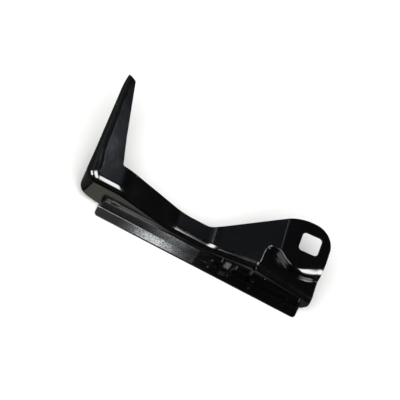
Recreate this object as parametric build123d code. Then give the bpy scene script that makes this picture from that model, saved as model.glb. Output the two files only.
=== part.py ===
from build123d import *
import math
import os

# Fender support bracket: a drawn steel pressing with an L-shaped rail spot-welded along its front flange
# and foam tape on one half of the rail. Millimetres, +Z up, +X along the rail, +Y from the flange to the lug.
# While it is laid out, X starts beside the rail's left end, Y at the flange's front face, Z under the rail.
# The finished pieces are moved so that the square hole's centre, on the pad's upper face, is the origin.

# sheet and bends of the pressing
sheet = 1.2
bend_radius = 4.5
corner_radius = 6.0

# heights of the web's upper face
shelf_height = 26.0
valley_height = 14.6
pad_height = 25.2

# where the web changes slope, measured across its waves, which are turned a little from the rail
web_turn = 8.0
shelf_end = 8.5
valley_start = 42.0
valley_end = 70.0
slope_radius = 22.0
crest_radius = 6.0

# arm, with its turned-down side
arm_length = 71.1
arm_root_x = -14.0
arm_tip_x = -17.8
arm_tip_width = 5.7
arm_tip_radius = 4.0
arm_waist_x = -3.2
arm_waist_y = 33.0
arm_waist_radius = 60.0
arm_side_tip = 24.6

# back edge of the web, from the crotch beside the arm to the shoulder of the lug
crotch_x = 1.6
crotch_y = 16.4
crotch_radius = 1.5
back_bend_x = 38.0
back_bend_y = 14.3
back_bend_radius = 60.0
waist_start = 49.0
waist_end = 63.2
waist_y = 12.8
waist_radius = 40.0
rise_radius = 9.0
shoulder_radius = 30.0

# lug with its square hole, and how far its edges lie from the hole's centre
hole_x = 118.9
hole_y = 27.5
hole_size = 12.0
hole_corner = 2.3
hole_turn = 4.0
lug_to_back = 12.9
lug_to_side = 12.3
lug_to_shoulder = 10.1
lug_radius = 13.2
flange_past_hole = 15.3
crest_before_hole = 13.6

# pocket pressed down in front of the pad, its floor a lip's height under the rising web where it starts
pocket_before_crest = 8.5
pocket_lip = 0.8
pocket_fall = 0.18
pocket_back_y = 15.7
pocket_corner = 2.4
pocket_draft = 8.0
pad_rim_radius = 18.2
step_top_extra = 0.2
step_foot_radius = 1.0

# lower edge of the front flange
flange_foot = 1.5
flange_left_end = -2.0
flange_left_slope = 0.33
flange_right_start = 131.4
flange_right_rise = 7.0

# long hole in the flange, behind the rail's upper edge
slot_x = 9.4
slot_height = 10.3
slot_length = 7.4
slot_width = 4.6

# rail
rail_start = 0.5
rail_length = 130.0
rail_sheet = 1.2
rail_height = 10.0
rail_depth = 7.2
rail_inner_bend = 0.8
rail_corner = 2.0
upright_set_back = 1.2
notch_start = 79.2
notch_end = 86.0
notch_foot = 3.0
weld_radius = 2.2
weld_dimple = 0.15
weld_places = (71.5, 98.0, 120.0)

# foam tape
tape_thickness = 0.8
tape_end = 64.0
tape_margin = 0.3
tape_end_radius = 1.6

# how far the tools and blanks reach past the part
REACH = 60.0

# places that follow from the hole, and the step's rounding, which the flange's bend runs over
shoulder_x = hole_x - lug_to_shoulder
right_edge_x = hole_x + flange_past_hole
crest = hole_x - crest_before_hole
pocket_x = crest - pocket_before_crest
step_top_radius = bend_radius + step_top_extra


def prism(face):
    """A face drawn out to both sides, further than the part reaches."""
    return extrude(face, amount=4 * REACH, both=True)


def shared_edges(one, other):
    """Edges that two faces of one solid have in common."""
    return [edge for edge in one.edges() if any(edge.is_same(match) for match in other.edges())]


def rise(edge):
    """Height between the two ends of an edge."""
    return abs(edge.position_at(1).Z - edge.position_at(0).Z)


def web_section(inset):
    """Section across the web's waves: all that lies under its upper face, shrunk by the inset."""
    left = arm_tip_x - REACH
    right = right_edge_x + REACH
    top = FilletPolyline(
        (left, shelf_height),
        (shelf_end, shelf_height),
        (valley_start, valley_height),
        (valley_end, valley_height),
        (crest, pad_height),
        (right, pad_height),
        radius=[slope_radius, slope_radius, slope_radius, crest_radius],
    )
    sides = Polyline((right, pad_height), (right, -REACH), (left, -REACH), (left, shelf_height))
    section = make_face(Plane.XZ * (top + sides))
    return offset(section, amount=-inset) if inset else section


def form_plan(inset):
    """Plan of the drawn form: the flange in front, the arm's leaning side on the left."""
    lean = (arm_tip_x - arm_root_x) / arm_length
    far_x = right_edge_x + REACH
    far_y = arm_length + REACH
    outline = FilletPolyline(
        (far_x, far_y),
        (arm_root_x + lean * far_y, far_y),
        (arm_root_x, 0),
        (far_x, 0),
        radius=[0, corner_radius],
    )
    plan = make_face(outline + Line((far_x, 0), (far_x, far_y)))
    return offset(plan, amount=-inset) if inset else plan


def pocket_depth():
    """Depth of the pocket's floor under the pad at its left wall."""
    across = pocket_x * math.cos(math.radians(web_turn))
    return (pad_height - valley_height) * (crest - across) / (crest - valley_end) + pocket_lip


def pocket_walls(inset):
    """Space that the punch presses out in front of the pad, with its walls moved out by the inset."""
    lean = math.tan(math.radians(pocket_draft))
    grow = inset / math.cos(math.radians(pocket_draft))
    drop = pocket_depth() + inset / math.cos(math.atan(pocket_fall))
    foot_x = pocket_x - grow + lean * drop
    far_x = right_edge_x + 2 * REACH
    floor_and_left = Polyline(
        (pocket_x - grow - lean * REACH, pad_height + REACH),
        (foot_x, pad_height - drop),
        (far_x, pad_height - drop - pocket_fall * (far_x - foot_x)),
        (far_x, pad_height + REACH),
        close=True,
    )
    back_y = pocket_back_y + grow
    back = Polyline(
        (-REACH, pad_height + REACH),
        (back_y + lean * REACH, pad_height + REACH),
        (back_y - lean * REACH, pad_height - REACH),
        (-REACH, pad_height - REACH),
        close=True,
    )
    walls = prism(make_face(Plane.XZ * floor_and_left)) & prism(make_face(Plane.YZ * back))
    rim = pad_rim_radius - grow
    boss = Cone(rim + lean * REACH, rim - lean * REACH / 4, REACH * 5 / 4)
    boss_middle = pad_height + (REACH / 4 - REACH) / 2
    return walls - Pos(hole_x, hole_y, boss_middle) * boss


def pocket_space(inset):
    """The pocket's space with rounded corners, and rounded at its foot."""
    space = pocket_walls(inset)
    left = space.faces().sort_by(Axis.X)[0]
    back = space.faces().filter_by(GeomType.PLANE).sort_by(Axis.Y)[-1]
    rim = space.faces().filter_by(GeomType.CONE)[0]
    space = fillet(shared_edges(left, back) + shared_edges(rim, back), pocket_corner + inset)
    floor = space.faces().sort_by(Axis.Z)[0]
    outer = (floor.edges().sort_by(Axis.X)[-1], floor.edges().sort_by(Axis.Y)[0])
    foot = [edge for edge in floor.edges() if not any(edge.is_same(far) for far in outer)]
    return fillet(foot, step_foot_radius + inset)


def pocket_brow(form, inset):
    """Upper edges of the pocket's walls, from the flange's face round the pad to the far right."""
    depth = pocket_depth()
    near = [edge for edge in form.edges() if edge.center().Z > pad_height - inset - depth / 2]
    near = [edge for edge in near if pocket_x - 1 - inset < edge.center().X < right_edge_x + REACH - inset]
    near = [edge for edge in near if inset < edge.center().Y < pocket_back_y + 1 + inset]
    return [edge for edge in near if rise(edge) < depth / 4]


def flange_brow(form):
    """Upper edges of the flange's face, of the corner and of the arm's side."""
    front = form.faces().filter_by(GeomType.PLANE).sort_by(Axis.Y)[0]
    side = form.faces().filter_by(GeomType.PLANE).sort_by(Axis.X)[0]
    nose = form.faces().filter_by(GeomType.CYLINDER).sort_by(Axis.X)[0]
    edges = []
    for edge in front.edges() + side.edges() + nose.edges():
        if edge.center().Z > 0 and rise(edge) < REACH / 2 and not any(edge.is_same(kept) for kept in edges):
            edges.append(edge)
    return edges


def drawn_form(inset):
    """The punch's form with its web, pocket and bends, shrunk by the inset."""
    form = Rot(0, 0, web_turn) * prism(web_section(inset)) & prism(form_plan(inset))
    form -= pocket_space(inset)
    form = fillet(pocket_brow(form, inset), step_top_radius - inset)
    return fillet(flange_brow(form), bend_radius - inset)


def blank_outline():
    """Plan outline that the blank is cut to: arm, back edge and lug, open past the flange."""
    lug_top = hole_y + lug_to_back
    lean = (hole_x + lug_to_side - right_edge_x) / hole_y
    past = arm_tip_x - REACH / 4
    return FilletPolyline(
        (past, arm_length),
        (arm_tip_x + arm_tip_width, arm_length),
        (arm_waist_x, arm_waist_y),
        (crotch_x, crotch_y),
        (back_bend_x, back_bend_y),
        (waist_start, waist_y),
        (waist_end, waist_y),
        (shoulder_x, lug_top),
        (right_edge_x + lean * lug_top, lug_top),
        (right_edge_x - lean * REACH / 4, -REACH / 4),
        (past, -REACH / 4),
        radius=[
            0,
            arm_tip_radius,
            arm_waist_radius,
            crotch_radius,
            back_bend_radius,
            waist_radius,
            rise_radius,
            shoulder_radius,
            lug_radius,
            0,
            0,
        ],
        close=True,
    )


def flange_trim():
    """Front view of what is cut away under the flange, rising at both ends."""
    left_x = arm_tip_x - REACH / 4
    left_z = flange_foot + flange_left_slope * (flange_left_end - left_x)
    steep = (flange_right_rise - flange_foot) / (right_edge_x - flange_right_start)
    right_x = right_edge_x + 2 * sheet
    under = Polyline(
        (left_x, left_z),
        (flange_left_end, flange_foot),
        (flange_right_start, flange_foot),
        (right_x, flange_foot + steep * (right_x - flange_right_start)),
        (right_x, -2 * REACH),
        (left_x, -2 * REACH),
        close=True,
    )
    return prism(make_face(Plane.XZ * under))


def arm_side_trim():
    """Side view of what is cut away under the arm's side, which narrows from the corner to the tip."""
    corner_foot = flange_foot + flange_left_slope * (flange_left_end - arm_root_x - corner_radius)
    steep = (arm_side_tip - corner_foot) / arm_length
    far_y = arm_length + REACH
    under = Polyline(
        (-REACH, corner_foot - steep * REACH),
        (far_y, corner_foot + steep * far_y),
        (far_y, -2 * REACH),
        (-REACH, -2 * REACH),
        close=True,
    )
    side = extrude(make_face(Plane.YZ * under), amount=REACH, both=True)
    return Pos(arm_root_x + corner_radius - REACH, 0, 0) * side


def square_hole():
    """Square hole with rounded corners through the pad, turned a little with the lug."""
    hole = extrude(RectangleRounded(hole_size, hole_size, hole_corner), amount=REACH, both=True)
    return Pos(hole_x, hole_y, 0) * Rot(0, 0, hole_turn) * hole


def flange_slot():
    """Long hole through the flange."""
    slot = extrude(Plane.XZ * SlotOverall(slot_length, slot_width), amount=2 * sheet, both=True)
    return Pos(slot_x, 0, slot_height) * slot


def main_bracket():
    """The pressing: one sheet between two drawn forms, cut to its outline and pierced."""
    blank = drawn_form(0) - drawn_form(sheet)
    blank &= extrude(make_face(blank_outline()), amount=REACH)
    blank -= flange_trim()
    blank -= arm_side_trim()
    blank -= square_hole()
    return blank - flange_slot()


def lower_rail():
    """The L-shaped rail: an upright leg against the flange and a leg lying in front of it."""
    section = Polyline(
        (0, 0),
        (0, rail_height),
        (-rail_sheet, rail_height),
        (-rail_sheet, rail_sheet),
        (-rail_depth, rail_sheet),
        (-rail_depth, 0),
        close=True,
    )
    face = make_face(section)
    heel = face.vertices().sort_by_distance((0, 0))[0]
    face = fillet(heel, rail_inner_bend + rail_sheet)
    inner = face.vertices().sort_by_distance((-rail_sheet, rail_sheet))[0]
    face = fillet(inner, rail_inner_bend)
    bar = extrude(Plane.YZ * face, amount=rail_length / 2, both=True)
    bar = Pos(rail_start + rail_length / 2, 0, 0) * bar
    above = rail_sheet + rail_inner_bend
    gap = Box(2 * upright_set_back, 2 * rail_sheet, rail_height, align=(Align.CENTER, Align.CENTER, Align.MIN))
    for end in (rail_start, rail_start + rail_length):
        bar -= Pos(end, 0, above) * gap
    notch = Box(notch_end - notch_start, 4 * rail_sheet, rail_height, align=(Align.MIN, Align.CENTER, Align.MIN))
    bar -= Pos(notch_start, 0, notch_foot) * notch
    top = bar.faces().filter_by(Axis.Z).sort_by(Axis.Z)[-2:]
    bar = fillet([edge for face in top for edge in face.edges().filter_by(Axis.Y)], rail_corner)
    toe = bar.faces().sort_by(Axis.Y)[0]
    bar = fillet(toe.edges().filter_by(Axis.Z), rail_corner)
    dimple = Rot(90, 0, 0) * Cylinder(weld_radius, 2 * weld_dimple)
    for place in weld_places:
        bar -= Pos(place, -rail_sheet, (rail_height + above) / 2) * dimple
    return bar


def tape_strip(length, width):
    """A strip of tape lying flat from the origin along X and Y, with its first end rounded off."""
    strip = Box(length, width, tape_thickness, align=Align.MIN)
    return fillet(strip.edges().filter_by(Axis.Z).sort_by(Axis.X)[:2], tape_end_radius)


def upper_seal_strip():
    """Tape on the front of the rail's upright leg, from its left end to the middle."""
    foot = rail_sheet + rail_inner_bend + tape_margin
    start = rail_start + upright_set_back + tape_margin
    strip = tape_strip(tape_end - start, rail_height - tape_margin - foot)
    return Pos(start, -rail_sheet, foot) * Rot(90, 0, 0) * strip


def lower_seal_strip():
    """Tape on top of the rail's lying leg, from its left end to the middle."""
    start = rail_start + tape_margin
    width = rail_depth - rail_sheet - rail_inner_bend - 2 * tape_margin
    strip = tape_strip(tape_end - start, width)
    return Pos(start, tape_margin - rail_depth, rail_sheet) * strip


datum = Pos(-hole_x, -hole_y, -pad_height)
pieces = {
    "main_bracket": main_bracket(),
    "lower_rail": lower_rail(),
    "upper_seal_strip": upper_seal_strip(),
    "lower_seal_strip": lower_seal_strip(),
}
os.makedirs("parts", exist_ok=True)
for name, piece in pieces.items():
    export_step(datum * piece, f"parts/{name}.step")
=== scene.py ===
import math

import bpy
import numpy as np
from mathutils import Matrix, Vector
from mathutils.geometry import delaunay_2d_cdt


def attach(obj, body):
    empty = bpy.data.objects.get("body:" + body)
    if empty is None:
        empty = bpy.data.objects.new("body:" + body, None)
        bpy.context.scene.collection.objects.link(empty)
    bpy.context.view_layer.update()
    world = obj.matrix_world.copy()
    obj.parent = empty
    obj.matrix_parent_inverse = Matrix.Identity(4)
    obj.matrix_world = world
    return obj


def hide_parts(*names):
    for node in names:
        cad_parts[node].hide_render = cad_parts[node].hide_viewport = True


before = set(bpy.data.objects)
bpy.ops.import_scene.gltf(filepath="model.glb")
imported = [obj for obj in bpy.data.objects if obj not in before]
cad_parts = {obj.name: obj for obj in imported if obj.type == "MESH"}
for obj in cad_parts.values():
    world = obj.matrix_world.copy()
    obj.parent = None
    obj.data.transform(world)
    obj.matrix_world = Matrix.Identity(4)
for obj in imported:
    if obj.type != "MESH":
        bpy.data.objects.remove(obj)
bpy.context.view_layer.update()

# The pressing: one 1.2 mm steel blank, cut to its outline and drawn over a punch in one stroke. Its web waves
# from the shelf down to the valley and up to the pad, its front and the arm's side are turned down, and a
# pocket is pressed in before the pad, which has a square hole. It is dip-coated in glossy black.
MM = 0.001

# Lengths are in mm: x from the rail's left end, y from the flange's front face, and heights from the rail's
# underside. The bend's radius changes from the corner to the tip. Below its bend the corner flares out and
# the arm's side leans in, by so much over the drop.
sheet, sheet_edge = 1.2, 0.14
bend = 4.5
bend_run = bend * math.pi / 2
corner, corner_steps = 8.5, 28
corner_bend, side_bend, tip_bend = 7.4, 5.2, 3.6
side_settles, side_tapers = (0.0, 14.0), (6.0, 62.0)
corner_flare, side_lean, flare_drop = 1.0, 2.0, 16.0

# The middle of the square hole, in the pad's upper face, is the origin of the finished part.
hole_x, hole_y, pad_height = 118.9, 27.5, 25.2
hole_size, hole_corner, hole_turn = 12.0, 2.3, 4.0
datum = np.array([hole_x, hole_y, pad_height])

# The web's wave, then its outline: the arm, the crotch and back edge, the shoulder and the lug.
shelf_height, valley_height = 26.0, 14.6
shelf_end, valley_start, valley_end, crest_x = 8.5, 42.0, 69.0, 105.3
wave_turn, wave_drift = math.radians(8.0), 2.5
wave_radii = (26.0, 22.0, 28.0, 8.0)

arm_length, arm_root_x, arm_tip_x, arm_tip_width = 71.1, -16.0, -17.8, 5.7
arm_waist_x, arm_waist_y, arm_side_tip, tip_slant = -3.2, 33.0, 24.6, 0.55
crotch_x, crotch_y, crotch_radius = 1.6, 16.4, 1.5
back_bend_x, back_bend_y = 38.0, 14.3
waist_start, waist_end, waist_y = 49.0, 63.2, 12.8
shoulder_x, shoulder_radius = 108.8, 30.0
lug_to_back, lug_to_side, lug_radius, right_edge_x = 12.9, 12.3, 13.2, 134.2
waist_radii, back_radius, arm_radius, tip_radius, tip_flat = (9.0, 40.0), 60.0, 60.0, 1.4, 0.8

# The pocket: its left and back walls, its sloping floor, and the brow that its edge is rounded to. The brow's
# radius steps down beside the crest and opens towards the right.
pocket_x, pocket_level, pocket_fall, pocket_back_y = 97.2, 21.57, 0.18, 15.4
pocket_corner, wall_steep, pad_rim = 2.6, math.radians(82.0), 18.2
pocket_foot, pocket_least = 1.0, 0.3
brow_left, brow_step, brow_right = 0.9, 0.5, 9.5
brow_steps, brow_opens = (98.0, 104.5), (112.0, 129.0)

# The lower edge of the turned-down strips, and the slot in the flange.
flange_foot, flange_left_end, flange_left_slope = 1.5, -2.0, 0.33
flange_right_start, flange_right_rise = 131.4, 7.0
corner_foot = 3.5
slot_x, slot_height, slot_length, slot_width = 9.4, 10.3, 7.4, 4.6

# The arm's side in plan: its way to the tip, its way out, and the middle and angles of the corner's turn.
arm_lean = (arm_tip_x - arm_root_x) / arm_length
side_way = np.array([arm_lean, 1.0]) / math.hypot(arm_lean, 1.0)
side_out = np.array([-side_way[1], side_way[0]])
corner_middle = np.array([arm_root_x + arm_lean * corner - corner / side_out[0], corner])
corner_start, corner_end = math.atan2(side_out[1], side_out[0]) + 2 * math.pi, 1.5 * math.pi


def rounded_path(points, radii, step):
    """Closed path through the points, each corner an arc of its radius, sampled about every step and at least
    every fifth of a radian."""
    widest_turn, least_gap = 0.2, 1e-4
    points = np.array(points, float)
    arcs = []
    for before, here, after, radius in zip(np.roll(points, 1, 0), points, np.roll(points, -1, 0), radii):
        into = (here - before) / np.linalg.norm(here - before)
        onto = (after - here) / np.linalg.norm(after - here)
        turn = math.atan2(into[0] * onto[1] - into[1] * onto[0], into @ onto)
        reach = radius * math.tan(abs(turn) / 2)
        start = here - into * reach
        side = np.array([-into[1], into[0]]) * math.copysign(1.0, turn)
        steps = max(1, math.ceil(max(radius * abs(turn) / step, abs(turn) / widest_turn)))
        angles = np.linspace(0, abs(turn), steps + 1)[:, None]
        arc = start + side * radius + radius * (into * np.sin(angles) - side * np.cos(angles))
        arcs.append(arc if radius else here[None])
    stretches = []
    for arc, following in zip(arcs, arcs[1:] + arcs[:1]):
        straight = following[0] - arc[-1]
        shares = np.linspace(0, 1, int(np.linalg.norm(straight) / step) + 2)[1:-1, None]
        stretches += [arc, arc[-1] + straight * shares]
    path = np.concatenate(stretches)
    return path[np.linalg.norm(path - np.roll(path, 1, 0), axis=1) > least_gap]


def lower_of(a, b, width):
    """The smaller of two heights, rounded where they cross over the given width."""
    return np.minimum(a, b) - np.maximum(width - np.abs(a - b), 0) ** 2 / (4 * width)


def ease(value, start, end):
    """Zero before the start, one past the end, and a smooth S between."""
    t = np.clip((value - start) / (end - start), 0, 1)
    return t * t * (3 - 2 * t)


def wave(x, y):
    """Height of the web's wave: straight slopes between level stretches, each corner a circular arc. The wave
    runs at its turn from the rail, which it takes up smoothly behind the front bend."""
    behind = np.maximum(y - bend, 0)
    way = x * math.cos(wave_turn) + (bend + behind**2 / (behind + wave_drift)) * math.sin(wave_turn)
    knots = [shelf_end, valley_start, valley_end, crest_x]
    heights = [shelf_height, valley_height, valley_height, pad_height]
    z = np.interp(way, knots, heights)
    tilts = [0.0, *np.arctan(np.diff(heights) / np.diff(knots)), 0.0]
    for knot, height, radius, before, after in zip(knots, heights, wave_radii, tilts, tilts[1:]):
        bow = math.copysign(1.0, after - before)
        reach = radius * math.tan(abs(after - before) / 2)
        middle = knot - reach * math.cos(before) - bow * radius * math.sin(before)
        level = height - reach * math.sin(before) + bow * radius * math.cos(before)
        arc = level - bow * np.sqrt(np.maximum(radius**2 - (way - middle) ** 2, 0))
        inside = (way > knot - reach * math.cos(before)) & (way < knot + reach * math.cos(after))
        z = np.where(inside, arc, z)
    return z


def web_height(x, y):
    """Height of the web: the wave, sunk in the pocket. Across the pocket's edge the wall goes down in a round
    brow and then at its steep lean, till it meets the floor, which falls to the right, in a rounded foot. How
    far a point lies inside the edge is its least distance from the left wall, the back wall and the pad's
    round rim, with the corners between them rounded."""
    level = wave(x, y)
    from_left = x - pocket_x
    from_back = pocket_back_y - y
    from_rim = np.hypot(x - hole_x, y - hole_y) - pad_rim
    nook = np.hypot(np.maximum(pocket_corner - from_left, 0), np.maximum(pocket_corner - from_back, 0))
    inside = np.maximum(pocket_corner, np.minimum(from_left, from_back)) - nook
    inside = lower_of(inside, from_rim, pocket_corner)
    brow = brow_left + (brow_step - brow_left) * ease(x, *brow_steps)
    brow = brow + (brow_right - brow_step) * ease(x, *brow_opens)
    past = np.maximum(inside + brow * math.tan(wall_steep / 2), 0)
    turned_in = np.minimum(past, brow * math.sin(wall_steep))
    sunk = brow - np.sqrt(brow**2 - turned_in**2) + (past - turned_in) * math.tan(wall_steep)
    depth = np.maximum(level - pocket_level + pocket_fall * (x - pocket_x), pocket_least)
    return level - lower_of(sunk, depth, np.minimum(pocket_foot, depth))


def side_radius(along):
    """Radius of the arm's side bend at each distance from the corner: it settles from the corner's radius to
    the side's and tapers to the tip's."""
    settled = corner_bend + (side_bend - corner_bend) * ease(along, *side_settles)
    return settled - (side_bend - tip_bend) * ease(along, *side_tapers)


def nose_radius(share):
    """Radius of the bend round the corner, at each share of the turn from the side to the front."""
    return corner_bend + (bend - corner_bend) * ease(share, 0.0, 1.0)


def unbent(x, y):
    """How far a point of the blank lies past the start of the bend, the way out of the plan, the radius of
    the bend there, and how far outwards the sheet below it gets over the flare's drop. That is the flare
    times a sine squared in the corner, less the lean, which starts smoothly and is full along the side."""
    away = np.stack([x, y], -1) - corner_middle
    ahead, outward = away @ side_way, away @ side_out
    in_corner = (away[..., 0] < 0) & (ahead < 0)
    on_side = (corner - outward < y) & (ahead >= 0)
    radius = np.maximum(np.linalg.norm(away, axis=-1), 1e-9)
    out = np.where(on_side[..., None], side_out, np.array([0.0, -1.0]))
    out = np.where(in_corner[..., None], away / radius[..., None], out)
    inward = np.where(in_corner, corner - radius, np.where(on_side, corner - outward, y))
    share = np.arctan2(-ahead, outward) / (math.pi / 2 + math.atan(arm_lean))
    bent = np.where(in_corner, nose_radius(share), np.where(on_side, side_radius(ahead), bend))
    share = np.clip(share, 0, 1)
    flare = corner_flare * np.sin(math.pi * share) ** 2 - side_lean * ease(1 - share, 0, 1)
    flare = np.where(in_corner, flare, np.where(on_side, -side_lean, 0))
    return np.maximum(bent - inward, 0), out, bent, flare


def pressed(points):
    """Where each point of the flat blank ends up: the web rises to its height, the strip past the web's edge
    turns down round a bend square to the web's slope along x, and the rest hangs down and gets out by its
    flare. The slope is the difference in height over the reach to both sides."""
    x, y = points[:, 0], points[:, 1]
    past, out, bent, flare = unbent(x, y)
    start = points - out * past[:, None]
    z = web_height(start[:, 0], start[:, 1])
    reach = 1.2
    rise = web_height(start[:, 0] + reach, start[:, 1]) - web_height(start[:, 0] - reach, start[:, 1])
    slope = rise / (2 * reach)
    steep = np.hypot(slope, 1)
    tilt_x, tilt_z = -slope / steep, 1 / steep
    angle = np.maximum(math.pi / 2 - past / bent, 0)
    drop = np.maximum(past - bent * math.pi / 2, 0)
    side = bent * np.cos(angle) + flare * drop / flare_drop
    lost = bent * (1 - np.sin(angle))
    return np.stack(
        [
            start[:, 0] + out[:, 0] * side - tilt_x * lost,
            start[:, 1] + out[:, 1] * side,
            z - tilt_z * lost - drop,
        ],
        -1,
    )


def path_down(bent, height):
    """Length of sheet from the start of a bend at the shelf down to a height: the arc whose drop it is, then
    straight on."""
    round_bend = bent * np.arccos(np.clip(1 - (shelf_height - height) / bent, 0, 1))
    return round_bend + np.maximum(shelf_height - bent - height, 0)


def normals_of(form, points):
    """Unit normals of a formed blank, from central differences along the blank's two axes."""
    tiny = 2e-3
    across = form(points + (tiny, 0)) - form(points - (tiny, 0))
    along = form(points + (0, tiny)) - form(points - (0, tiny))
    normal = np.cross(across, along)
    return normal / np.linalg.norm(normal, axis=1)[:, None]


def inside_loop(points, loop):
    """Whether each point lies inside a closed loop, by counting the loop's edges to its right."""
    a, b = loop, np.roll(loop, -1, axis=0) + (0, 1e-9)
    found = []
    for some in np.array_split(points, 1 + len(points) // 2000):
        x, y = some[:, :1], some[:, 1:]
        crosses = (a[:, 1] > y) != (b[:, 1] > y)
        at = a[:, 0] + (y - a[:, 1]) / (b[:, 1] - a[:, 1]) * (b[:, 0] - a[:, 0])
        found.append(np.sum(crosses & (x < at), axis=1) % 2 == 1)
    return np.concatenate(found)


def clear_of(points, loop, gap):
    """Whether each point lies further than a gap from a closed loop."""
    way = np.roll(loop, -1, axis=0) - loop
    found = []
    for some in np.array_split(points, 1 + len(points) // 2000):
        from_start = some[:, None] - loop
        along = np.clip(np.sum(from_start * way, -1) / np.sum(way * way, -1), 0, 1)
        away = from_start - along[..., None] * way
        found.append(np.min(np.sum(away * away, -1), axis=1) > gap * gap)
    return np.concatenate(found)


def formed_sheet(name, outline, cutouts, inner, form, thick, edge, gap=0.3):
    """A closed sheet: the flat blank is filled with triangles, formed, given its thickness along its normals
    and closed at its rims. Each rim's two edges are rounded to the given radius: between the upper face and
    the lower one lie four rings of points, which face 45 degrees up, twice straight out, and 45 degrees
    down."""
    loops = [outline] + cutouts
    keep = inside_loop(inner, outline)
    for loop in cutouts:
        keep &= ~inside_loop(inner, loop)
    for loop in loops:
        keep &= clear_of(inner, loop, gap)
    points = np.concatenate(loops + [inner[keep]])
    starts = np.cumsum([0] + [len(loop) for loop in loops])
    rims = [list(range(starts[i], starts[i + 1])) for i in range(len(loops))]
    edges = [(a, b) for rim in rims for a, b in zip(rim, rim[1:] + rim[:1])]
    filled = delaunay_2d_cdt([Vector(p) for p in points], edges, [rims[0]], 1, 1e-5, True)
    flat = np.array([tuple(p) for p in filled[0]])
    triangles = np.array(filled[2])
    kept_as = {source: i for i, sources in enumerate(filled[3]) for source in sources}
    middles = flat[triangles].mean(1)
    shown = inside_loop(middles, outline)
    for loop in cutouts:
        shown &= ~inside_loop(middles, loop)
    triangles = triangles[shown]
    a, b, c = (flat[triangles[:, i]] for i in range(3))
    backwards = (b - a)[:, 0] * (c - a)[:, 1] - (b - a)[:, 1] * (c - a)[:, 0] < 0
    triangles[backwards] = triangles[backwards][:, ::-1]

    top = form(flat)
    normal = normals_of(form, flat)
    count = len(top)
    bottom = top - normal * thick
    rings, ring_normals, ring_faces = [], [], []
    total = 2 * count
    for number, rim in enumerate(rims):
        ids = np.array([kept_as[i] for i in rim])
        here, up = top[ids], normal[ids]
        loop = flat[ids]
        area = np.sum(loop[:, 0] * np.roll(loop[:, 1], -1) - loop[:, 1] * np.roll(loop[:, 0], -1))
        forwards = (area > 0) == (number == 0)
        out = np.cross(np.roll(here, -1, axis=0) - np.roll(here, 1, axis=0), up)
        out *= 1.0 if forwards else -1.0
        out /= np.linalg.norm(out, axis=1)[:, None]
        row = [ids]
        for depth, angle in ((edge, 45), (edge, 90), (thick - edge, 90), (thick - edge, 45)):
            lift, reach = math.cos(math.radians(angle)), math.sin(math.radians(angle))
            lift = lift if depth == edge else -lift
            facing = up * lift + out * reach
            rings.append(here - out * edge - up * depth + edge * facing)
            ring_normals.append(facing)
            row.append(np.arange(total, total + len(ids)))
            total += len(ids)
        row.append(ids + count)
        top[ids] = here - out * edge
        bottom[ids] = here - out * edge - up * thick
        for upper, lower in zip(row, row[1:]):
            quad = np.stack([upper, lower, np.roll(lower, -1), np.roll(upper, -1)], -1)
            ring_faces.append(quad if forwards else quad[:, ::-1])
    vertices = np.concatenate([top, bottom] + rings)
    normals = np.concatenate([normal, -normal] + ring_normals)
    faces = triangles.tolist() + (triangles[:, ::-1] + count).tolist() + np.concatenate(ring_faces).tolist()
    mesh = bpy.data.meshes.new(name)
    mesh.from_pydata(((vertices - datum) * MM).tolist(), [], faces)
    mesh.polygons.foreach_set("use_smooth", np.ones(len(mesh.polygons), bool))
    mesh.normals_split_custom_set_from_vertices(normals.tolist())
    mesh.validate()
    piece = bpy.data.objects.new(name, mesh)
    bpy.context.scene.collection.objects.link(piece)
    return piece


def flange_trim(x):
    """Height of the flange's lower edge: level, and rising in a straight line at each end."""
    steep = (flange_right_rise - flange_foot) / (right_edge_x - flange_right_start)
    left = flange_foot + flange_left_slope * (flange_left_end - x)
    right = flange_foot + steep * (x - flange_right_start)
    return np.maximum(np.maximum(left, right), flange_foot)


def side_trim(y):
    """Height of the lower edge of the arm's side, which rises in a straight line to the tip."""
    return corner_foot + (arm_side_tip - corner_foot) * y / arm_length


def front_edge(u):
    """Where the front bend ends at each station of the blank: its place along the front and its height."""
    foot = pressed(np.stack([u, bend - bend_run + 0 * u], -1))
    return foot[:, 0], foot[:, 2]


def tip_end(x):
    """Where the arm ends at each station across it: square for a short way, then cut at a slant."""
    return arm_length - tip_slant * np.maximum(x - arm_tip_x - tip_flat, 0)


def edge_path(at, bent):
    """Length of sheet from the start of the bend at each place of the corner and the side to the lower edge,
    which is the flange's or the side's, whichever is higher there."""
    return path_down(bent, np.maximum(flange_trim(at[:, 0]), side_trim(at[:, 1])))


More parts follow.
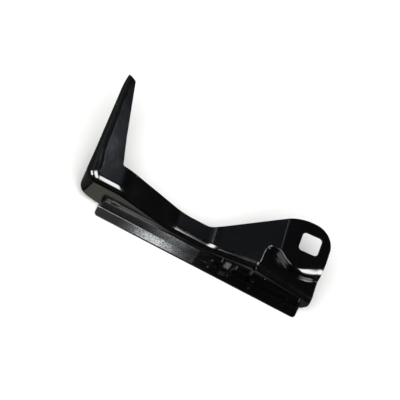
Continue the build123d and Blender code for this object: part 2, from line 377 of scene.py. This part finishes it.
def bracket_outline(step):
    """The blank's outline: lug, back edge, crotch and arm in plan, then the far edges of the turned-down
    strips, set out from the bend by the height that each has left to hang. The plan is closed by two points
    well before the front, and that part of it is cut off."""
    before, before_right, off_bend = -20.0, 23.0, 0.3
    lug_top = hole_y + lug_to_back
    lug_side = hole_x + lug_to_side
    lean = (lug_side - right_edge_x) / hole_y
    tip_left = corner_middle + side_out * (corner - tip_bend)
    tip_left = tip_left + side_way * (arm_length - tip_left[1]) / side_way[1]
    tip_left[1] = tip_end(tip_left[0])
    right_start = np.array([right_edge_x + lean * bend, bend])
    plan = rounded_path(
        [
            tip_left,
            (tip_left[0], before),
            (right_start[0] - lean * before_right, before),
            (right_edge_x + lean * lug_top, lug_top),
            (shoulder_x, lug_top),
            (waist_end, waist_y),
            (waist_start, waist_y),
            (back_bend_x, back_bend_y),
            (crotch_x, crotch_y),
            (arm_waist_x, arm_waist_y),
            (arm_tip_x + arm_tip_width, tip_end(arm_tip_x + arm_tip_width)),
        ],
        [0, 0, 0, lug_radius, shoulder_radius, *waist_radii,
         back_radius, crotch_radius, arm_radius, tip_radius],
        step,
    )
    on_lug = (plan[:, 1] > bend + off_bend) & (plan[:, 0] > hole_x)
    plan = plan[np.argmax(on_lug):]

    # the flange's right end, from its lower edge up and round the bend
    fall = pocket_fall / math.hypot(1, pocket_fall)
    past_edge, fine_steps = 3.0, 4000
    u = np.linspace(corner_middle[0], right_edge_x + past_edge, fine_steps)
    x, z = front_edge(u)
    u_right = np.interp(right_edge_x, x, u)
    end_drop = np.interp(u_right, u, z) - flange_trim(np.array([right_edge_x]))[0]
    past = np.linspace(0, bend_run + end_drop, int((bend_run + end_drop) / step) + 2)
    angle = np.maximum(math.pi / 2 - past / bend, 0)
    at_y = bend - bend * np.cos(angle)
    right = np.stack([right_edge_x + lean * at_y + fall * bend * (1 - np.sin(angle)), bend - past], -1)[::-1]

    # the flange's lower edge, with a point where it starts to rise at each end
    stations = np.unique(np.concatenate([
        np.linspace(corner_middle[0], u_right, int((u_right - corner_middle[0]) / step)),
        np.interp([flange_left_end, flange_right_start], x, u),
    ]))
    drop = np.interp(stations, u, z) - flange_trim(np.interp(stations, u, x))
    front = np.stack([stations, bend - bend_run - drop], -1)[:-1]

    # the lower edge round the corner
    shares = np.linspace(0, 1, corner_steps)[:-1]
    angles = corner_start + (corner_end - corner_start) * shares
    round_out = np.stack([np.cos(angles), np.sin(angles)], -1)
    bent = nose_radius(shares)
    down = edge_path(corner_middle + round_out * corner, bent)
    nose = corner_middle + round_out * (corner - bent + down)[:, None]

    # the lower edge of the arm's side, from the tip back to the corner
    along = np.linspace(0, (arm_length - corner) / side_way[1], int(arm_length / step))[1:]
    at = corner_middle + side_out * corner + side_way * along[:, None]
    bent = side_radius(along)
    outer = at + side_out * (edge_path(at, bent) - bent)[:, None]
    outer = outer[at[:, 1] < arm_length - step / 2][::-1]

    # the end of the arm's side, round the bend and down
    tip_steps = 7
    past = np.linspace(0, path_down(tip_bend, side_trim(arm_length)), tip_steps)
    angle = np.maximum(math.pi / 2 - past / tip_bend, 0)
    tip = tip_left + side_out * past[:, None]
    formed_x = tip_left[0] + side_out[0] * tip_bend * np.cos(angle)
    tip[:, 1] = tip_end(formed_x) + (past - tip_bend * np.cos(angle)) * side_out[1]
    return np.concatenate([plan, tip, outer, nose, front, right[:-1]])


def crossings(across, up):
    """Every pairing of the two rows of values, as points."""
    return np.stack([values.ravel() for values in np.meshgrid(across, up)], -1)


def evenly(start, end, foot, top, gap, gap_up):
    """Points that fill a rectangle, evenly spaced both ways."""
    return crossings(np.arange(start, end, gap), np.arange(foot, top, gap_up))


def bracket_grid():
    """Points that fill the blank: a grid on the web, closer in the pocket and closest at its left wall, rows
    along the front bend and flange, rays round the corner, and rows along the arm's side."""
    web_gap, pocket_gap, wall_gap = 0.9, 0.32, 0.13
    front_gap, strip_gap, ray_gap = 0.4, 1.0, 0.5
    off_bend, off_middle, before_wall, past_wall, past_edge = 0.2, 0.3, 1.6, 1.0, 2.0
    pocket_area = (95.0, right_edge_x, bend + off_bend, 20.0)
    wall_area = (pocket_x - before_wall, pocket_x + past_wall, bend + off_bend, 18.0)
    web = evenly(arm_tip_x, right_edge_x, bend + web_gap / 2, arm_length, web_gap, web_gap)
    web = web[~((web[:, 0] > pocket_area[0]) & (web[:, 1] < pocket_area[3]))]
    pocket = evenly(*pocket_area, pocket_gap, pocket_gap)
    at_wall = (pocket[:, 0] >= wall_area[0]) & (pocket[:, 0] <= wall_area[1]) & (pocket[:, 1] <= wall_area[3])
    web = np.concatenate([web, pocket[~at_wall], evenly(*wall_area, wall_gap, front_gap)])
    level = unbent(web[:, 0], web[:, 1])[0] <= 0
    web = web[level & (np.hypot(*(web - corner_middle).T) > off_middle)]

    columns = np.concatenate([
        np.arange(corner_middle[0], pocket_area[0], web_gap),
        np.arange(pocket_area[0], wall_area[0], front_gap),
        np.arange(*wall_area[:2], wall_gap),
        np.arange(wall_area[1], right_edge_x + past_edge, front_gap),
    ])
    bend_rows, flange_deepest = 14, 24
    straight = np.arange(bend_run + web_gap, bend_run + flange_deepest, strip_gap)
    front = crossings(columns, np.concatenate([np.linspace(0, bend_run, bend_rows), straight]))
    front[:, 1] = bend - front[:, 1]

    rays, ray_length = np.linspace(corner_start, corner_end, corner_steps)[1:-1], 34.0
    angles, past = crossings(rays, np.arange(ray_gap / 2, ray_length, ray_gap)).T
    nose = corner_middle + np.stack([np.cos(angles), np.sin(angles)], -1) * past[:, None]

    side_deepest = 36.0
    along, past = evenly(0, arm_length, 0, side_deepest, strip_gap, ray_gap).T
    outer = corner_middle + side_out * (corner - corner_bend + past)[:, None] + side_way * along[:, None]
    bent = unbent(outer[:, 0], outer[:, 1])[0] > 0
    return np.concatenate([web, front, nose, outer[bent]])


def pierced(length, width, radius, step):
    """The rim of an opening of a length and a width with rounded corners, about its middle."""
    a, b = length / 2, width / 2
    return rounded_path([(-a, -b), (a, -b), (a, b), (-a, b)], [radius] * 4, step)


# The square hole is turned a little from the rail. The slot's ends are round, and it is punched a little
# further right in the blank, because the leaning front bend draws it to the left.
outline_step, slot_step, slot_drawn = 0.8, 0.5, 0.4
cos, sin = math.cos(math.radians(hole_turn)), math.sin(math.radians(hole_turn))
square = pierced(hole_size, hole_size, hole_corner, outline_step) @ np.array([[cos, sin], [-sin, cos]])
square = square + (hole_x, hole_y)
slot_top = front_edge(np.array([slot_x]))[1][0]
slot = pierced(slot_length, slot_width, slot_width / 2 - 0.01, slot_step)
slot = slot + (slot_x + slot_drawn, bend - bend_run - (slot_top - slot_height))
blank = bracket_outline(outline_step)
pressing = formed_sheet("pressed_bracket", blank, [square, slot], bracket_grid(), pressed, sheet, sheet_edge)

# On the flange, seen through the rail's notch, a small grey patch is painted in: a painted highlight in place
# of the bright reflection there.
notch_highlight_starts, notch_highlight_ends, notch_highlight_tops, flange_face = (80.4, 81.2), (83.4, 84.6), (9.6, 11.4), 0.5
formed = np.empty(3 * len(pressing.data.vertices), "f")
pressing.data.vertices.foreach_get("co", formed)
x, y, z = (formed.reshape(-1, 3) / MM + datum).T
notch_highlight_mask = (y < flange_face) * ease(x, *notch_highlight_starts) * (1 - ease(x, *notch_highlight_ends)) * (1 - ease(z, *notch_highlight_tops))
painted_notch_highlight = pressing.data.attributes.new("painted_notch_highlight", "FLOAT", "POINT")
painted_notch_highlight.data.foreach_set("value", notch_highlight_mask.astype("f"))


def linear(colour):
    """An sRGB hex colour as linear red, green, blue and alpha."""
    parts = np.array([int(colour[i:i + 2], 16) for i in (1, 3, 5)]) / 255
    parts = np.where(parts <= 0.04045, parts / 12.92, ((parts + 0.055) / 1.055) ** 2.4)
    return (*parts, 1.0)


def node(tree, kind, inputs=(), **settings):
    """Adds a node, sets its settings, and sets or links its inputs."""
    made = tree.nodes.new(kind)
    for key, value in settings.items():
        setattr(made, key, value)
    for key, value in dict(inputs).items():
        if isinstance(value, bpy.types.NodeSocket):
            tree.links.new(value, made.inputs[key])
        else:
            made.inputs[key].default_value = value
    return made


def material(name):
    """An empty node material with its output node."""
    made = bpy.data.materials.new(name)
    made.use_nodes = True
    made.node_tree.nodes.clear()
    return made, made.node_tree, made.node_tree.nodes.new("ShaderNodeOutputMaterial")


# Electrocoat: nearly black through and glossy, so the eye gets almost only the lights' reflections, softened
# by a fine orange peel over a wider swell. Handling leaves duller patches and nicks show grey primer. The
# grey patch in the notch is a painted highlight, dull and matt. Each nick has its place and its radius.
nicks = [(6.6, 15.9, 25.9, 0.35), (8.8, 15.6, 25.4, 0.25), (11.4, 15.3, 24.6, 0.45), (-16.9, 50.3, 24.5, 0.6)]
nicks += [(-15.6, 22.0, 22.5, 0.5), (104.6, 0.2, 13.2, 0.6)]
ragged_edge = 0.6
peel_size, swell_size, patch_size = 2.381, 16.667, 22.222
peel_depth, swell_depth = 0.1, 0.4
ecoat, tree, out = material("glossy_black_electrocoat")
place = node(tree, "ShaderNodeTexCoord").outputs["Object"]
peel = node(tree, "ShaderNodeTexNoise", {"Vector": place, "Scale": 1 / (peel_size * MM), "Detail": 2.0})
swell = node(tree, "ShaderNodeTexNoise", {"Vector": place, "Scale": 1 / (swell_size * MM), "Detail": 1.0})
patches = {"Vector": place, "Scale": 1 / (patch_size * MM), "Detail": 4.0, "Roughness": 0.6}
patches = node(tree, "ShaderNodeTexNoise", patches)
handled = {"Value": patches.outputs["Fac"], "From Min": 0.35, "From Max": 0.75, "To Min": 0.1, "To Max": 0.18}
dull = node(tree, "ShaderNodeMapRange", handled)
worn = None
for x, y, z, size in nicks:
    spot = {0: place, 1: ((x - hole_x) * MM, (y - hole_y) * MM, (z - pad_height) * MM)}
    away = node(tree, "ShaderNodeVectorMath", spot, operation="DISTANCE").outputs["Value"]
    ragged = {0: peel.outputs["Fac"], 1: ragged_edge * MM, 2: away}
    ragged = node(tree, "ShaderNodeMath", ragged, operation="MULTIPLY_ADD")
    inside = {0: ragged.outputs[0], 1: (size + ragged_edge / 2) * MM}
    inside = node(tree, "ShaderNodeMath", inside, operation="LESS_THAN")
    if worn:
        inside = node(tree, "ShaderNodeMath", {0: worn, 1: inside.outputs[0]}, operation="MAXIMUM")
    worn = inside.outputs[0]
# Painted highlight: the mask of the grey patch in the notch, read from the pressing's points.
notch_highlight_factor = node(tree, "ShaderNodeAttribute", attribute_name="painted_notch_highlight").outputs["Fac"]
swelled = {"Height": swell.outputs["Fac"], "Strength": 0.25, "Distance": swell_depth * MM}
swelled = node(tree, "ShaderNodeBump", swelled)
peeled = {"Height": peel.outputs["Fac"], "Strength": 0.12, "Distance": peel_depth * MM}
peeled = node(tree, "ShaderNodeBump", {**peeled, "Normal": swelled.outputs[0]})
primer = {"Factor": worn, "A": linear("#060607"), "B": linear("#565453")}
primer = node(tree, "ShaderNodeMix", primer, data_type="RGBA")
# Painted highlight: a flat light grey mixed in over the notch patch.
highlight_grey_mix = {"Factor": notch_highlight_factor, "A": primer.outputs["Result"], "B": linear("#58595C")}
highlight_grey_mix = node(tree, "ShaderNodeMix", highlight_grey_mix, data_type="RGBA")
rough = node(tree, "ShaderNodeMix", {"Factor": notch_highlight_factor, 2: dull.outputs[0], 3: 0.6})
paint = {"Base Color": highlight_grey_mix.outputs["Result"], "Roughness": rough.outputs[0], "IOR": 1.46}
paint = node(tree, "ShaderNodeBsdfPrincipled", {**paint, "Normal": peeled.outputs[0]})
tree.links.new(paint.outputs[0], out.inputs["Surface"])
pressing.data.materials.append(ecoat)
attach(pressing, "root")
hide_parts("main_bracket")

# The rail: a strip of the same 1.2 mm steel folded once to an L, with rounded ends, and cut down at a notch
# in its upright leg. Spot welds, which leave shallow round dimples, hold it to the flange, and the two are
# coated together.
rail_start, rail_end, rail_height, rail_depth, rail_fold = 0.5, 130.5, 10.0, 7.2, 0.8
rail_run = rail_fold * math.pi / 2
rail_edge, rail_corner, step_corner, notch_corner = 0.1, 2.0, 0.3, 0.4
upright_set_back, notch_start, notch_end, notch_foot = 1.2, 79.2, 86.0, 3.0
weld_radius, weld_rim, weld_dimple, weld_places = 2.2, 0.6, 0.15, (71.5, 98.0, 120.0)
fold_foot = sheet + rail_fold


def folded(points):
    """Where each point of the rail's flat strip ends up: in front of the fold it lies level, then it turns up
    round the fold and stands. Each weld sinks the standing leg in a shallow disc with a soft edge."""
    u, v = points[:, 0], points[:, 1]
    angle = np.clip(v / rail_fold, 0, math.pi / 2)
    y = -fold_foot + np.minimum(v, 0) + rail_fold * np.sin(angle)
    z = fold_foot - rail_fold * np.cos(angle) + np.maximum(v - rail_run, 0)
    for weld in weld_places:
        away = np.hypot(u - weld, v - rail_run - (rail_height - fold_foot) / 2)
        y = y + weld_dimple * (1 - ease(away, weld_radius - weld_rim, weld_radius))
    return np.stack([u, y, z], -1)


# The flat strip: its length is u, and v runs from the lying leg's toe up over the fold to the upright's top.
toe_v = fold_foot - rail_depth
top_v = rail_run + rail_height - fold_foot
notch_v = rail_run + notch_foot - fold_foot
upright_start, upright_end = rail_start + upright_set_back, rail_end - upright_set_back
strip_step, lying_gap, upright_gap, fold_rows, clear = 0.6, 0.7, 0.5, 9, 0.2
strip_outline = rounded_path(
    [
        (rail_start, toe_v), (rail_end, toe_v), (rail_end, rail_run), (upright_end, rail_run),
        (upright_end, top_v), (notch_end, top_v), (notch_end, notch_v), (notch_start, notch_v),
        (notch_start, top_v), (upright_start, top_v), (upright_start, rail_run), (rail_start, rail_run),
    ],
    np.repeat([rail_corner, step_corner, rail_corner, notch_corner, rail_corner, step_corner], 2),
    strip_step,
)
strip_points = np.concatenate([
    evenly(rail_start, rail_end, toe_v, -clear, lying_gap, lying_gap),
    crossings(np.arange(rail_start, rail_end, upright_gap), np.linspace(0.0, rail_run, fold_rows)),
    evenly(rail_start, rail_end, rail_run + clear, top_v, upright_gap, upright_gap),
])
rail = formed_sheet("folded_rail", strip_outline, [], strip_points, folded, sheet, rail_edge, clear)
rail.data.materials.append(ecoat)
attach(rail, "root")
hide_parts("lower_rail")

# The tape: two strips of black sealing foam with a hard grained skin, die-cut with rounded first ends and
# stuck along the left half of the rail, one on the standing leg and one on the lying leg. A thin gap stays at
# the fold.
tape_thick, tape_end, tape_margin, tape_gap = 0.8, 64.0, 0.3, 0.04
tape_edge, tape_round, tape_square, tape_step = 0.12, 1.6, 0.3, 0.6


def tape_on_upright(points):
    """The standing strip's skin: its length along the rail, its width upwards."""
    return np.stack([points[:, 0], -sheet - tape_thick + 0 * points[:, 0], points[:, 1]], -1)


def tape_on_lying(points):
    """The lying strip's skin: its length along the rail, its width backwards."""
    return np.stack([points[:, 0], points[:, 1], sheet + tape_thick + 0 * points[:, 0]], -1)


def tape_strip(name, start, foot, top, form):
    """A strip of tape between two heights of its leg, from its start to the tape's common end."""
    corners = [(start, foot), (tape_end, foot), (tape_end, top), (start, top)]
    outline = rounded_path(corners, [tape_round, tape_square, tape_square, tape_round], tape_step)
    inner = evenly(start, tape_end, foot, top, tape_step, tape_step)
    return formed_sheet(name, outline, [], inner, form, tape_thick, tape_edge)


# Foam skin: matt, with a pebbled grain that breaks the light into fine specks, and a shade that shifts a
# little from crumb to crumb. Pale specks of painted sheen lie on it, thick in the middle of its length,
# hardly any at the ends, and a little less on the standing strip.
grain_size, crumb_size, speck_size = 0.7692, 1.1111, 0.6667
grain_depth = 0.3
lying_sheen_hump, standing_sheen_hump = (2.0, 37.5, 78.0), (14.0, 47.0, 80.0)
standing_sheen_share, sheen_gather, sheen_all_over = 0.74, 4.2, 0.01
foam, tree, out = material("grained_black_foam_tape")
place = node(tree, "ShaderNodeTexCoord").outputs["Object"]
grain = node(tree, "ShaderNodeTexVoronoi", {"Vector": place, "Scale": 1 / (grain_size * MM)})
crumbs = node(tree, "ShaderNodeTexNoise", {"Vector": place, "Scale": 1 / (crumb_size * MM), "Detail": 3.0})
bumps = {"Height": grain.outputs["Distance"], "Strength": 0.6, "Distance": grain_depth * MM}
bumps = node(tree, "ShaderNodeBump", bumps)
shade = node(tree, "ShaderNodeValToRGB", {"Fac": crumbs.outputs["Fac"]})
shade.color_ramp.elements[0].position, shade.color_ramp.elements[0].color = 0.35, linear("#060708")
shade.color_ramp.elements[1].position, shade.color_ramp.elements[1].color = 0.7, linear("#17181A")
axes = node(tree, "ShaderNodeSeparateXYZ", {"Vector": place})


def combine(kind, first, second):
    """The output of a node that combines two values or outputs by the given kind of arithmetic."""
    return node(tree, "ShaderNodeMath", {0: first, 1: second}, operation=kind).outputs[0]


def hump(start, top, end):
    """A smooth hump along the rail: zero at the start, one at the top and zero at the end."""
    value, peak = axes.outputs["X"], (top - hole_x) * MM
    sides = [{"Value": value, "From Min": (foot - hole_x) * MM, "From Max": peak} for foot in (start, end)]
    sides = [node(tree, "ShaderNodeMapRange", side, interpolation_type="SMOOTHSTEP") for side in sides]
    return combine("MULTIPLY", sides[0].outputs[0], sides[1].outputs[0])


# Whatever lies below this height, a hair over the lying strip's skin, takes the lying strip's painted sheen.
lying_top = sheet + tape_thick + 0.06
is_lying = combine("LESS_THAN", axes.outputs["Z"], (lying_top - pad_height) * MM)
standing_sheen = combine("MULTIPLY", hump(*standing_sheen_hump), standing_sheen_share)
painted_sheen_amount = node(tree, "ShaderNodeMix", {"Factor": is_lying, 2: standing_sheen, 3: hump(*lying_sheen_hump)})
painted_sheen_amount = combine("ADD", combine("POWER", painted_sheen_amount.outputs[0], sheen_gather), sheen_all_over)
sheen_speck = node(tree, "ShaderNodeTexNoise", {"Vector": place, "Scale": 1 / (speck_size * MM), "Detail": 2.0})
sheen_speck = {"Value": sheen_speck.outputs["Fac"], "From Min": 0.4, "From Max": 0.6, "To Min": 0.2, "To Max": 1.2}
sheen_speck = node(tree, "ShaderNodeMapRange", sheen_speck).outputs[0]
# Painted sheen: pale specks mixed into the foam's colour, brightest in the middle of each strip.
painted_sheen = {"Factor": combine("MULTIPLY", painted_sheen_amount, sheen_speck), "A": shade.outputs["Color"], "B": linear("#C9CDCF")}
painted_sheen = node(tree, "ShaderNodeMix", painted_sheen, data_type="RGBA")
skin = {"Base Color": painted_sheen.outputs["Result"], "Roughness": 0.6, "IOR": 1.4, "Specular IOR Level": 0.1}
skin["Normal"] = bumps.outputs[0]
skin = node(tree, "ShaderNodeBsdfPrincipled", skin)
tree.links.new(skin.outputs[0], out.inputs["Surface"])
upper_width = (fold_foot + tape_gap, rail_height - tape_margin)
lower_width = (tape_margin - rail_depth, -fold_foot - tape_gap)
upper_tape = tape_strip("standing_tape", upright_start + tape_margin, *upper_width, tape_on_upright)
lower_tape = tape_strip("lying_tape", rail_start + tape_margin, *lower_width, tape_on_lying)
for strip, stand_in in ((upper_tape, "upper_seal_strip"), (lower_tape, "lower_seal_strip")):
    strip.data.materials.append(foam)
    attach(strip, "root")
    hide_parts(stand_in)

# Stage: a large pale floor of matt paper under the rail, in a nearly dark room. A white sheet hangs far below
# the floor, where only a camera that starts under the floor's level can see it. Its sizes are in metres.
floor_height = -pad_height * MM
half_floor, far_below, room_glow = 8.0, 0.4, 0.014


def sheet_at(name, height):
    """A large level sheet of the stage at a height."""
    mesh = bpy.data.meshes.new(name)
    corners = [(-1, -1), (1, -1), (1, 1), (-1, 1)]
    mesh.from_pydata([(x * half_floor, y * half_floor, height) for x, y in corners], [], [(0, 1, 2, 3)])
    laid = bpy.data.objects.new(name, mesh)
    bpy.context.scene.collection.objects.link(laid)
    return laid


floor = sheet_at("floor", floor_height)
below = sheet_at("white_below", floor_height - far_below)

# White sheet: an even glow that shows no light, shade or edge.
plain, tree, out = material("plain_white_sheet")
pale = node(tree, "ShaderNodeEmission", {"Color": linear("#FAFAFA"), "Strength": 1.0})
tree.links.new(pale.outputs[0], out.inputs["Surface"])
below.data.materials.append(plain)

# Paper: matt and nearly white, so that under the lamp it goes to plain white and keeps only soft shade.
paper, tree, out = material("pale_paper")
matt = node(tree, "ShaderNodeBsdfPrincipled", {"Base Color": linear("#F4F4F3"), "Roughness": 0.9})
tree.links.new(matt.outputs[0], out.inputs["Surface"])
floor.data.materials.append(paper)

world = bpy.data.worlds.new("studio")
bpy.context.scene.world = world
world.use_nodes = True
tree = world.node_tree
tree.nodes.clear()
surround = node(tree, "ShaderNodeBackground", {"Color": (1, 1, 1, 1), "Strength": room_glow})
tree.links.new(surround.outputs[0], node(tree, "ShaderNodeOutputWorld").inputs["Surface"])

# Lights: a large soft lamp above and before the part lights the paper and the foam. Glowing cards and dark
# flags, which only the gloss sees, stand round it, each for one highlight or dark stretch of the black coat.
key = bpy.data.lights.new("overhead_key", "AREA")
key.shape = "SQUARE"
key.size = 2.6
key.energy = 54.0
holder = bpy.data.objects.new("overhead_key", key)
bpy.context.scene.collection.objects.link(holder)
holder.location = (-0.05, -0.7, 1.3)
holder.visible_glossy = False


def card(name, place, aim, wide, high, radiance, soft, tint="#FFFFFF"):
    """A glowing card that faces its aim, seen only in reflections. Its glow fades to its edges over the given
    share of its half width. Places are in mm from the rail's left end."""
    mesh = bpy.data.meshes.new(name)
    mesh.from_pydata([(-1, -1, 0), (1, -1, 0), (1, 1, 0), (-1, 1, 0)], [], [(0, 1, 2, 3)])
    held = bpy.data.objects.new(name, mesh)
    bpy.context.scene.collection.objects.link(held)
    turn = (Vector(aim) - Vector(place)).to_track_quat("Z", "Y").to_matrix().to_4x4()
    size = Matrix.Diagonal((wide / 2 * MM, high / 2 * MM, 1, 1))
    held.matrix_world = Matrix.Translation((Vector(place) - Vector(datum)) * MM) @ turn @ size
    glow, tree, out = material(name + "_glow")
    surface = node(tree, "ShaderNodeTexCoord").outputs["Object"]
    across = node(tree, "ShaderNodeSeparateXYZ", {"Vector": surface})
    fades = []
    for axis in ("X", "Y"):
        from_middle = node(tree, "ShaderNodeMath", {0: across.outputs[axis]}, operation="ABSOLUTE")
        edge = {"Value": from_middle.outputs[0], "From Min": 1.0, "From Max": 1.0 - soft}
        fades.append(node(tree, "ShaderNodeMapRange", edge, interpolation_type="SMOOTHSTEP").outputs[0])
    fade = node(tree, "ShaderNodeMath", {0: fades[0], 1: fades[1]}, operation="MULTIPLY")
    strength = node(tree, "ShaderNodeMath", {0: fade.outputs[0], 1: radiance}, operation="MULTIPLY")
    light = node(tree, "ShaderNodeEmission", {"Strength": strength.outputs[0], "Color": linear(tint)})
    tree.links.new(light.outputs[0], out.inputs["Surface"])
    mesh.materials.append(glow)
    for hidden in ("camera", "diffuse", "transmission", "volume_scatter", "shadow"):
        setattr(held, "visible_" + hidden, False)


# White cards for the bright highlights.
card("front_card", (30, -112, 302), (9, 2, 24), 88, 360, 26.0, 0.45)
card("left_card", (-122, -50, 183), (-12, 3, 23), 280, 150, 26.0, 0.35)
card("far_left_card", (-440, -70, 90), (-12, 3, 20), 260, 150, 26.0, 0.3)
card("right_card", (1340, 716, 560), (125, 10, 20), 620, 400, 30.0, 0.3)
card("crescent_card", (262, -100, 94), (128, 12, 20), 110, 136, 26.0, 0.45)
# A cool, dim ceiling and wall for the soft sheen.
card("ceiling_middle", (10, 310, 525), (10, 310, 0), 330, 300, 0.6, 0.9, "#D3E4F2")
card("ceiling_left", (-300, 310, 524), (-300, 310, 0), 700, 320, 0.2, 0.7, "#D3E4F2")
card("ceiling_lamp", (22, 272, 515), (22, 272, 0), 44, 52, 5.0, 0.6, "#E6F0F8")
card("left_wall", (-440, 265, 175), (-15, 35, 22), 420, 340, 0.5, 0.5, "#D3E4F2")
# Close over the paper, a warm glow round the part, and a black and a dim flag that hide the bright floor.
card("apron", (5, -8, 0.3), (5, -8, 100), 330, 240, 0.62, 0.7, "#F4EEDC")
card("front_flag", (60, -315, 0.6), (60, -315, 100), 1200, 600, 0.0, 0.1)
card("left_flag", (-262, 190, 0.9), (-262, 190, 100), 500, 404, 0.12, 0.02, "#F4EEDC")

# Camera: the photograph's angle of view, through a lens so long that nothing converges. It looks down on the
# part from before it and a little from its left, turned so that the rail falls to the right in the picture.
from_left, looking_down, picture_turn = -12, 62, 38.13
picture_middle, picture_width, camera_distance = (51.3, 25.1, 15.0), 0.2296, 1.2
look = Matrix.Rotation(math.radians(from_left), 4, "Z")
look = look @ Matrix.Rotation(math.radians(90 - looking_down), 4, "X")
look = look @ Matrix.Rotation(math.radians(picture_turn), 4, "Z")
aim = (Vector(picture_middle) - Vector(datum)) * MM
camera = bpy.data.cameras.new("camera")
camera.type = "ORTHO"
camera.ortho_scale = picture_width
holder = bpy.data.objects.new("camera", camera)
bpy.context.scene.collection.objects.link(holder)
holder.matrix_world = Matrix.Translation(aim) @ look @ Matrix.Translation((0, 0, camera_distance))
bpy.context.scene.camera = holder
bpy.context.scene.view_settings.view_transform = "Standard"
